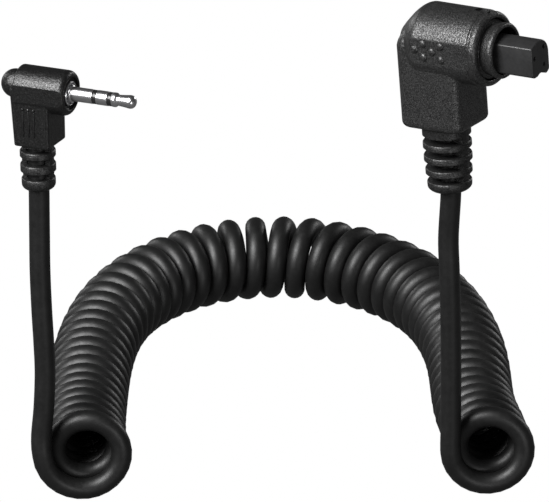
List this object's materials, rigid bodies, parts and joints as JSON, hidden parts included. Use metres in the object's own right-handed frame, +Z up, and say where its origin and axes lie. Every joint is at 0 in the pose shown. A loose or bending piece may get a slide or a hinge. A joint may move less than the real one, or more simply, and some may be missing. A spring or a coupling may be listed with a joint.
{
  "type": "cable shutter release cord",
  "caption": "Coiled remote-release cord with a right-angle miniature phone jack on one end and a right-angle camera connector with a sliding collar on the other.",
  "frame": {"origin": "on the table, under the middle of the whole object's box; the coil rests on the plane Z = 0", "axes": "+Z up, +X from the jack's leg of the coil to the camera connector's leg, +Y to the back, where the coil turns round"},
  "size_m": [0.093, 0.0987, 0.0916],
  "materials": {
    "black_plastic": "spark-eroded matte",
    "black_rubber": "satin",
    "cord_jacket": "smooth satin",
    "dark_insert": "smooth satin",
    "insulator": "satin",
    "spring_steel": "drawn wire",
    "plated_contact": "nickel plated",
    "wire_black": "insulation",
    "wire_red": "insulation",
    "wire_white": "insulation"
  },
  "bodies": {
    "cord_and_plugs": {"camera_plug_body": "black_plastic", "camera_strain_relief": "black_rubber", "camera_tail": "cord_jacket", "camera_wire_focus": "wire_red", "camera_wire_ground": "wire_black", "camera_wire_shutter": "wire_white", "coil": "cord_jacket", "collar_spring": "spring_steel", "contact_insert": "dark_insert", "insert_retainer": "insulator", "jack_body": "black_plastic", "jack_dome_cap": "black_plastic", "jack_inner_insulator": "insulator", "jack_outer_insulator": "insulator", "jack_rear_washer": "insulator", "jack_ring_contact": "plated_contact", "jack_ring_lug": "plated_contact", "jack_sleeve_contact": "plated_contact", "jack_sleeve_lug": "plated_contact", "jack_strain_relief": "black_rubber", "jack_tail": "cord_jacket", "jack_tip_contact": "plated_contact", "jack_tip_lug": "plated_contact", "jack_wire_focus": "wire_red", "jack_wire_ground": "wire_black", "jack_wire_shutter": "wire_white", "socket_contact_focus": "plated_contact", "socket_contact_ground": "plated_contact", "socket_contact_shutter": "plated_contact"},
    "collar": {"lock_collar": "black_plastic"}
  },
  "joints": [
    {"name": "collar_slide", "type": "slide", "parent": "cord_and_plugs", "child": "collar", "axis": [-0.8329, 0.5439, -0.102], "range_m": [0, 0.0012], "stiffness_N_per_m": 200, "springref_m": -0.002, "deforming": ["collar_spring"]}
  ]
}
